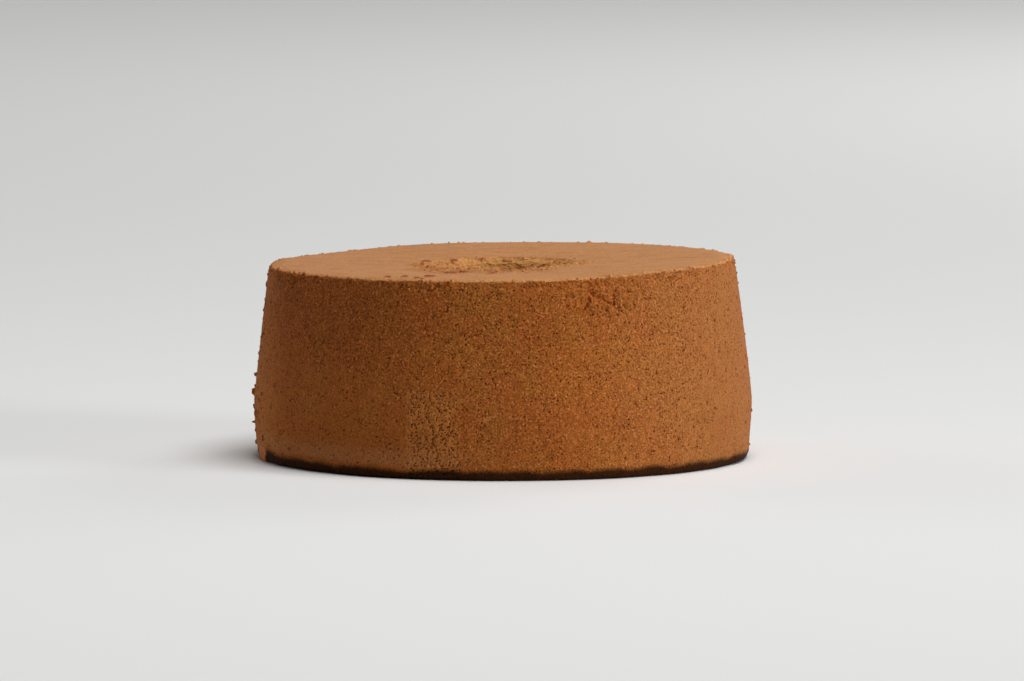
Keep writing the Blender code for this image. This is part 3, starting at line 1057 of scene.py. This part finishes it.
def swept_shell(tree, given):
    """The outline carried round the whole ring, or round one open stretch of it."""
    line = put(tree, "GeometryNodeCurvePrimitiveLine", {"End": (1, 0, 0)})
    open_path = put(tree, "GeometryNodeResampleCurve", {"Curve": line, "Count": given["Steps Around"] + 1})
    closed_path = put(tree, "GeometryNodeCurvePrimitiveCircle", {"Resolution": given["Steps Around"]})
    choice = {"Switch": given["Whole Ring"], "False": open_path, "True": closed_path}
    path = put(tree, "GeometryNodeSwitch", choice, input_type="GEOMETRY")
    index = put(tree, "GeometryNodeInputIndex")
    turned = given["First Angle"] + index / given["Steps Around"] * given["Sweep"]
    drawn = put(tree, "GeometryNodeObjectInfo", {"Object": given["Outline"]}, out="Geometry")
    profile = put(tree, "GeometryNodeMeshToCurve", {"Mesh": drawn})
    path = stored(path, "angle", turned)
    feeds = {"Curve": path, "Profile Curve": profile, "Fill Caps": 1 - given["Whole Ring"]}
    return put(tree, "GeometryNodeCurveToMesh", feeds)


def baked_form(tree, swept):
    """Puts every point of the swept shell where the pan, the oven and the tearing left it."""
    angle, radius, height = named(tree, "angle"), named(tree, "ring_radius"), named(tree, "ring_height")
    out_radial, out_up, skin = named(tree, "out_radial"), named(tree, "out_up"), named(tree, "skin")
    cosine, sine = angle.reckon("COSINE"), angle.reckon("SINE")
    x, y = radius * cosine, radius * sine
    place = at(tree, x, y, height)
    bulge, lift = leaned(radius, height, angle, x, y)
    relief, masks = crust_relief(place, x, y, radius, height, angle)
    relief = relief * skin * eased(height, 0.0, 0.0012)  # the resting face stays flat
    rolled_under = faded(height, 0.0, SHOULDER_ROLL)
    bulge = bulge + masks["apron"] * rolled_under * APRON_PUSH * eased(radius, 0.110, 0.121)
    tilt = height / CAKE_HEIGHT * LEAN_RIGHT * height / 2  # a lean also moves the top a little sideways
    reach = radius + bulge + relief * out_radial
    across, back = reach * cosine - tilt - MIDDLE[0], reach * sine - MIDDLE[1]
    spot = at(tree, across, back, height + lift + relief * out_up)
    shape = stored(swept, "crust_place", place, "FLOAT_VECTOR")
    for name, mask in masks.items():
        hidden_too = name not in ("crumbs", "flakes")  # loose bits lie on the outer side alone
        shape = stored(shape, name, mask if hidden_too else mask * skin)
    shape = put(tree, "GeometryNodeSetPosition", {"Geometry": shape, "Position": spot})
    shape = put(tree, "GeometryNodeFlipFaces", {"Mesh": shape})
    flat = put(tree, "GeometryNodeSetShadeSmooth", {"Geometry": shape, "Shade Smooth": False})
    all_on_skin = skin - 0.9  # above 0 only for a face with every corner on the skin
    return put(tree, "GeometryNodeSetShadeSmooth", {"Geometry": flat, "Selection": all_on_skin})


RING_INPUTS = {
    "Outline": "object",
    "Steps Around": int,
    "First Angle": float,
    "Sweep": float,
    "Whole Ring": bool,
}


def cake_tree(material):
    tree, given = new_tree("cake_ring", RING_INPUTS)
    return finish_tree(tree, baked_form(tree, swept_shell(tree, given)), material)


ring_tree = cake_tree(baked)
print("tree:", ring_tree.name, len(ring_tree.nodes), "nodes")

# %% Grow the pieces of cake
FULL_TURN = 2 * math.pi
PIECES = {  # name: outline, steps, first angle, sweep
    "side_front_right": ("side", QUARTER_STEPS, -FULL_TURN / 4, FULL_TURN / 4),
    "side_back_right": ("side", QUARTER_STEPS, 0.0, FULL_TURN / 4),
    "side_back_left": ("side", QUARTER_STEPS, FULL_TURN / 4, FULL_TURN / 4),
    "side_front_left": ("side", QUARTER_STEPS, FULL_TURN / 2, FULL_TURN / 4),
    "top_crust": ("top", RING_STEPS, 0.0, FULL_TURN),
    "torn_collar": ("collar", RING_STEPS, 0.0, FULL_TURN),
    "hole_wall": ("wall", RING_STEPS, 0.0, FULL_TURN),
}
pieces = []
for name, (outline, steps, first, sweep) in PIECES.items():
    values = (outlines[outline], steps, first, sweep, sweep == FULL_TURN)
    pieces.append(grown(ring_tree, name, dict(zip(RING_INPUTS, values))))
for drawn in outlines.values():
    bpy.data.objects.remove(drawn, do_unlink=True)
print(len(pieces), "pieces of cake")

# %% [markdown]
# ## An unrolled map for each piece
#
# A pored mesh can't be cut into flat islands by its angles, because every pore would become an island. But
# each piece already knows how it unrolls: across by its angle round the cake, and up by its walk along the
# outline. Written as a UV map, these two numbers make one clean sheet. The flat top is the exception; it is
# seen from above instead, and its hidden side lies within its middle.

# %% Write the maps
CAP_SHARE = 0.015  # the strip at a quarter's edge where its two cut ends go
DISC_WIDTH = 2.04 * TOP_SEAM_RADIUS  # the top with a narrow margin round it


def read_numbers(mesh, name):
    values = np.empty(len(mesh.vertices), dtype=np.float32)
    mesh.attributes[name].data.foreach_get("value", values)
    return values


def unrolled(piece, first, sweep, from_above):
    """Writes a piece's map, and returns how far it reaches across and up."""
    mesh = piece.data
    corners = np.empty(len(mesh.loops), dtype=np.int32)
    mesh.loops.foreach_get("vertex_index", corners)
    sizes = np.empty(len(mesh.polygons), dtype=np.int32)
    mesh.polygons.foreach_get("loop_total", sizes)
    starts = np.concatenate([[0], np.cumsum(sizes)[:-1]])
    face_of = np.repeat(np.arange(len(sizes)), sizes)
    across = ((read_numbers(mesh, "angle") - first) / sweep)[corners]
    up = read_numbers(mesh, "along")[corners]
    for values in (across, up):  # faces that close the ring join its last step to its first
        wraps = (np.maximum.reduceat(values, starts) - np.minimum.reduceat(values, starts) > 0.5)[face_of]
        values[wraps & (values < 0.5)] += 1.0
    capped = (sizes > 4)[face_of]  # the flat ends of a quarter, each one large face
    if from_above:
        hidden = (np.minimum.reduceat(read_numbers(mesh, "skin")[corners], starts) < 0.5)[face_of]
        reach = read_numbers(mesh, "ring_radius")[corners] / DISC_WIDTH
        folded = (0.15 + 0.80 * (up - 1 + HIDDEN_SHARE) / HIDDEN_SHARE) * TORN_SEAM_RADIUS / DISC_WIDTH
        reach = np.where(hidden, folded, reach)
        across, up = 0.5 + reach * np.cos(across * FULL_TURN), 0.5 + reach * np.sin(across * FULL_TURN)
    else:
        across *= 1 - 2 * CAP_SHARE * capped.any()
        height = read_numbers(mesh, "ring_height")[corners] / CAKE_HEIGHT
        radius = read_numbers(mesh, "ring_radius")[corners] / SHOULDER_RADIUS
        side_of = 1 - CAP_SHARE * np.where(across > 0.5, 1, 2)
        across = np.where(capped, side_of + 0.8 * CAP_SHARE * radius, across)
        up = np.where(capped, 0.9 * height, up)
    sheet = mesh.uv_layers.new(name="OFBake")
    sheet.data.foreach_set("uv", np.stack([across, up], axis=1).astype(np.float32).ravel())
    return float(across.max()), float(up.max())


for piece in pieces:
    outline, steps, first, sweep = PIECES[piece.name]
    print(piece.name, "unrolls to", unrolled(piece, first, sweep, outline == "top"))

# %% [markdown]
# ## Crumbs and flakes that cling to the crust
#
# A cake that has just left its pan sheds. Little flakes of skin stick to the side and the rim and make its
# outline fuzzy, and lumps of crumb stand round the torn collar. Nobody places these by hand: a second tree
# scatters points over the finished pieces, more where the first tree said that more is loose, and sets a
# small lump of a random size and turn on each. A crumb has only 80 faces, because there are many.

# %% Random numbers and the material of crumbs
CRUMB_GRAIN, CRUMB_HOLLOW = 0.0005, 0.0002


def random_number(tree, low, high, seed):
    feeds = {2: low, 3: high, "Seed": seed}
    return put(tree, "FunctionNodeRandomValue", feeds, out=1, data_type="FLOAT")


def random_vector(tree, low, high, seed):
    feeds = {0: (low,) * 3, 1: (high,) * 3, "Seed": seed}
    return put(tree, "FunctionNodeRandomValue", feeds, out=0, data_type="FLOAT_VECTOR")


def crumb_material():
    material = new_material("loose_crumb")
    tree = material.node_tree
    tone = number(tree, "tone")
    tan = number(tree, "top_skin") * (1 - 0.8 * eased(tone, 0.60, 0.75))  # some bits on the top are side skin
    colour = mixed(tan, SIDE_BROWN, TOP_TAN)
    colour = mixed(number(tree, "torn"), colour, CRUMB_GOLD)
    grain = cloud(put(tree, "ShaderNodeTexCoord", out="Object"), CRUMB_GRAIN, 2)
    return finish_material(material, colour, 0.82 + 0.40 * tone + 0.30 * grain, grain, CRUMB_HOLLOW, 0.0)


crumb = crumb_material()
print("material:", crumb.name)

# %% The tree that scatters them
LUMPINESS = 0.45  # how far noise pushes a crumb's outline in and out, as a share of its radius


def crumb_lump(tree):
    """One crumb of radius 1, with a lumpy outline."""
    ball = put(tree, "GeometryNodeMeshIcoSphere", {"Radius": 1.0, "Subdivisions": 2})
    place = put(tree, "GeometryNodeInputPosition")
    push = vector("SCALE", place, LUMPINESS * cloud(place, 1.3, 1))
    lump = put(tree, "GeometryNodeSetPosition", {"Geometry": ball, "Offset": push})
    return put(tree, "GeometryNodeSetShadeSmooth", {"Geometry": lump})


BIT_INPUTS = {
    "Surfaces": "collection",
    "Mask": str,
    "Bits per Square Metre": float,
    "Smallest": float,
    "Largest": float,
    "Flatness": float,
    "Tumble": float,
    "Seed": int,
}


def scatter_tree(material):
    tree, given = new_tree("scattered_bits", BIT_INPUTS)
    surfaces = put(tree, "GeometryNodeCollectionInfo", {"Collection": given["Surfaces"]})
    ground = put(tree, "GeometryNodeRealizeInstances", {"Geometry": surfaces})
    crowd = given["Bits per Square Metre"] * named(tree, given["Mask"])
    feeds = {"Mesh": ground, "Density": crowd, "Seed": given["Seed"]}
    points = put(tree, "GeometryNodeDistributePointsOnFaces", feeds)
    upright = Field(tree, points.socket.node.outputs["Rotation"])
    points = stored(points, "tone", random_number(tree, 0.0, 1.0, 11))
    tumbled = vector("SCALE", random_vector(tree, -1.0, 1.0, 12), given["Tumble"])
    turn = put(tree, "FunctionNodeEulerToRotation", {"Euler": tumbled})
    turned = put(tree, "FunctionNodeRotateRotation", {0: upright, 1: turn}, rotation_space="LOCAL")
    luck = random_number(tree, 0.0, 1.0, 13)
    size = given["Smallest"] + (given["Largest"] - given["Smallest"]) * luck * luck * luck  # most are small
    shape = vector("SCALE", random_vector(tree, 0.7, 1.3, 14), size)
    shape = vector("MULTIPLY", shape, at(tree, 1.0, 1.0, given["Flatness"]))
    feeds = {"Points": points, "Instance": crumb_lump(tree), "Rotation": turned, "Scale": shape}
    return finish_tree(tree, put(tree, "GeometryNodeInstanceOnPoints", feeds), material)


crumbs_tree = scatter_tree(crumb)
print("tree:", crumbs_tree.name, len(crumbs_tree.nodes), "nodes")

# %% Scatter the crumbs and the flakes
KINDS_OF_BITS = {  # name: mask, bits per square metre, smallest, largest, flatness, tumble, seed
    "torn_crumbs": ("crumbs", 0.6e5, 0.00025, 0.00120, 0.8, 3.0, 3),
    "skin_flakes": ("flakes", 1.3e5, 0.00022, 0.00110, 0.5, 0.8, 7),
}
cake_skin = bpy.data.collections.new("cake_skin")
bpy.context.scene.collection.children.link(cake_skin)
for piece in pieces:
    cake_skin.objects.link(piece)
bits = []
for name, values in KINDS_OF_BITS.items():
    bits.append(grown(crumbs_tree, name, dict(zip(BIT_INPUTS, (cake_skin, *values)))))
bpy.data.collections.remove(cake_skin)
print(len(bits), "pieces of scattered bits")

# %% Hand the pieces to the frame
for piece in (*pieces, *bits):
    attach(piece, "root")
for piece in pieces:
    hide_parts("cake")
print("riding on root:", [piece.name for piece in (*pieces, *bits)])

# %% [markdown]
# ## Table, light and camera
#
# The cake stands on a plain pale floor. A wide soft light comes from above and a stronger one from the
# right, so that the side grows darker towards the left and every pore is lit across. A weaker one from
# behind keeps the left edge from going black, and two lamps brighten the floor. The camera is far away with
# a long lens, a little above the cake, so the top shows as a thin ellipse.

# %% The floor
FLOOR_SIZE = 30.0
FLOOR_GREY, FLOOR_ROUGHNESS = (0.815, 0.815, 0.805, 1), 0.7
half = FLOOR_SIZE / 2
corners = [(-half, -half, 0), (half, -half, 0), (half, half, 0), (-half, half, 0)]
floor_mesh = bpy.data.meshes.new("floor")
floor_mesh.from_pydata(corners, [], [(0, 1, 2, 3)])
floor = bpy.data.objects.new("floor", floor_mesh)
bpy.context.scene.collection.objects.link(floor)
floor_material = new_material("pale_floor")
floor_shader = floor_material.node_tree.nodes["Principled BSDF"]
floor_shader.inputs["Base Color"].default_value = FLOOR_GREY
floor_shader.inputs["Roughness"].default_value = FLOOR_ROUGHNESS
floor_mesh.materials.append(floor_material)
print("floor:", FLOOR_SIZE, "m wide")

# %% The lights
def shines(name, light, place, aim):
    """Hangs a light at a place and turns it towards another, unseen by the camera."""
    lamp = bpy.data.objects.new(name, light)
    bpy.context.scene.collection.objects.link(lamp)
    lamp.location = place
    lamp.rotation_mode = "QUATERNION"
    lamp.rotation_quaternion = (Vector(aim) - Vector(place)).to_track_quat("-Z", "Y")
    lamp.visible_camera = False


def broad_light(name, right_of_front, up, spread, power):
    """A very wide, even light from far away, such as a white wall or ceiling gives. Angles are in degrees."""
    light = bpy.data.lights.new(name, "SUN")
    light.energy, light.angle = power, math.radians(spread)
    azimuth, elevation = math.radians(right_of_front), math.radians(up)
    level = math.cos(elevation)
    place = (math.sin(azimuth) * level, -math.cos(azimuth) * level, math.sin(elevation))
    shines(name, light, place, (0, 0, 0))


def soft_light(name, size, place, aim, power):
    """A square lamp, for light that falls off with distance."""
    light = bpy.data.lights.new(name, "AREA")
    light.shape, light.size, light.energy = "SQUARE", size, power
    shines(name, light, place, aim)


# Broad lights: degrees to the right of the front, degrees up, spread in degrees, power.
broad_light("ceiling", 60, 80, 45, 1.18)
broad_light("bright_wall", 66, 3, 24, 3.40)
broad_light("pale_backdrop", -120, 6, 34, 0.80)
# Soft lights: size, place, aim, power.
soft_light("near_window", 1.2, (0.50, -0.45, 2.2), (0.1, -0.2, 0), 24)
soft_light("side_window", 2.0, (2.3, 3.2, 1.6), (0.3, 3.2, 0), 44)
world = bpy.data.worlds.new("dim_room")
world.use_nodes = True
background = world.node_tree.nodes["Background"].inputs
background["Color"].default_value = (1.0, 1.0, 1.0, 1)
background["Strength"].default_value = 0.05
bpy.context.scene.world = world
bpy.context.scene.view_settings.view_transform = "Standard"

# %% The camera
CAMERA_DISTANCE = 4.0
CAMERA_ELEVATION = math.radians(5.05)
CAMERA_ROLL = math.radians(0.10)
AIM = (0.0045, 0.0, 0.0591)
LENS, SENSOR = 275.3, 36.0


def aim_camera():
    back = Vector((0, -math.cos(CAMERA_ELEVATION), math.sin(CAMERA_ELEVATION)))
    camera = bpy.data.objects.new("camera", bpy.data.cameras.new("camera"))
    camera.data.lens, camera.data.sensor_width = LENS, SENSOR
    camera.data.clip_start, camera.data.clip_end = 0.1, 100.0
    turn = (-back).to_track_quat("-Z", "Y").to_matrix() @ Matrix.Rotation(CAMERA_ROLL, 3, "Z")
    camera.matrix_world = Matrix.Translation(Vector(AIM) + back * CAMERA_DISTANCE) @ turn.to_4x4()
    bpy.context.scene.collection.objects.link(camera)
    bpy.context.scene.camera = camera
    return camera


camera = aim_camera()
print("camera at", [round(value, 3) for value in camera.matrix_world.translation])
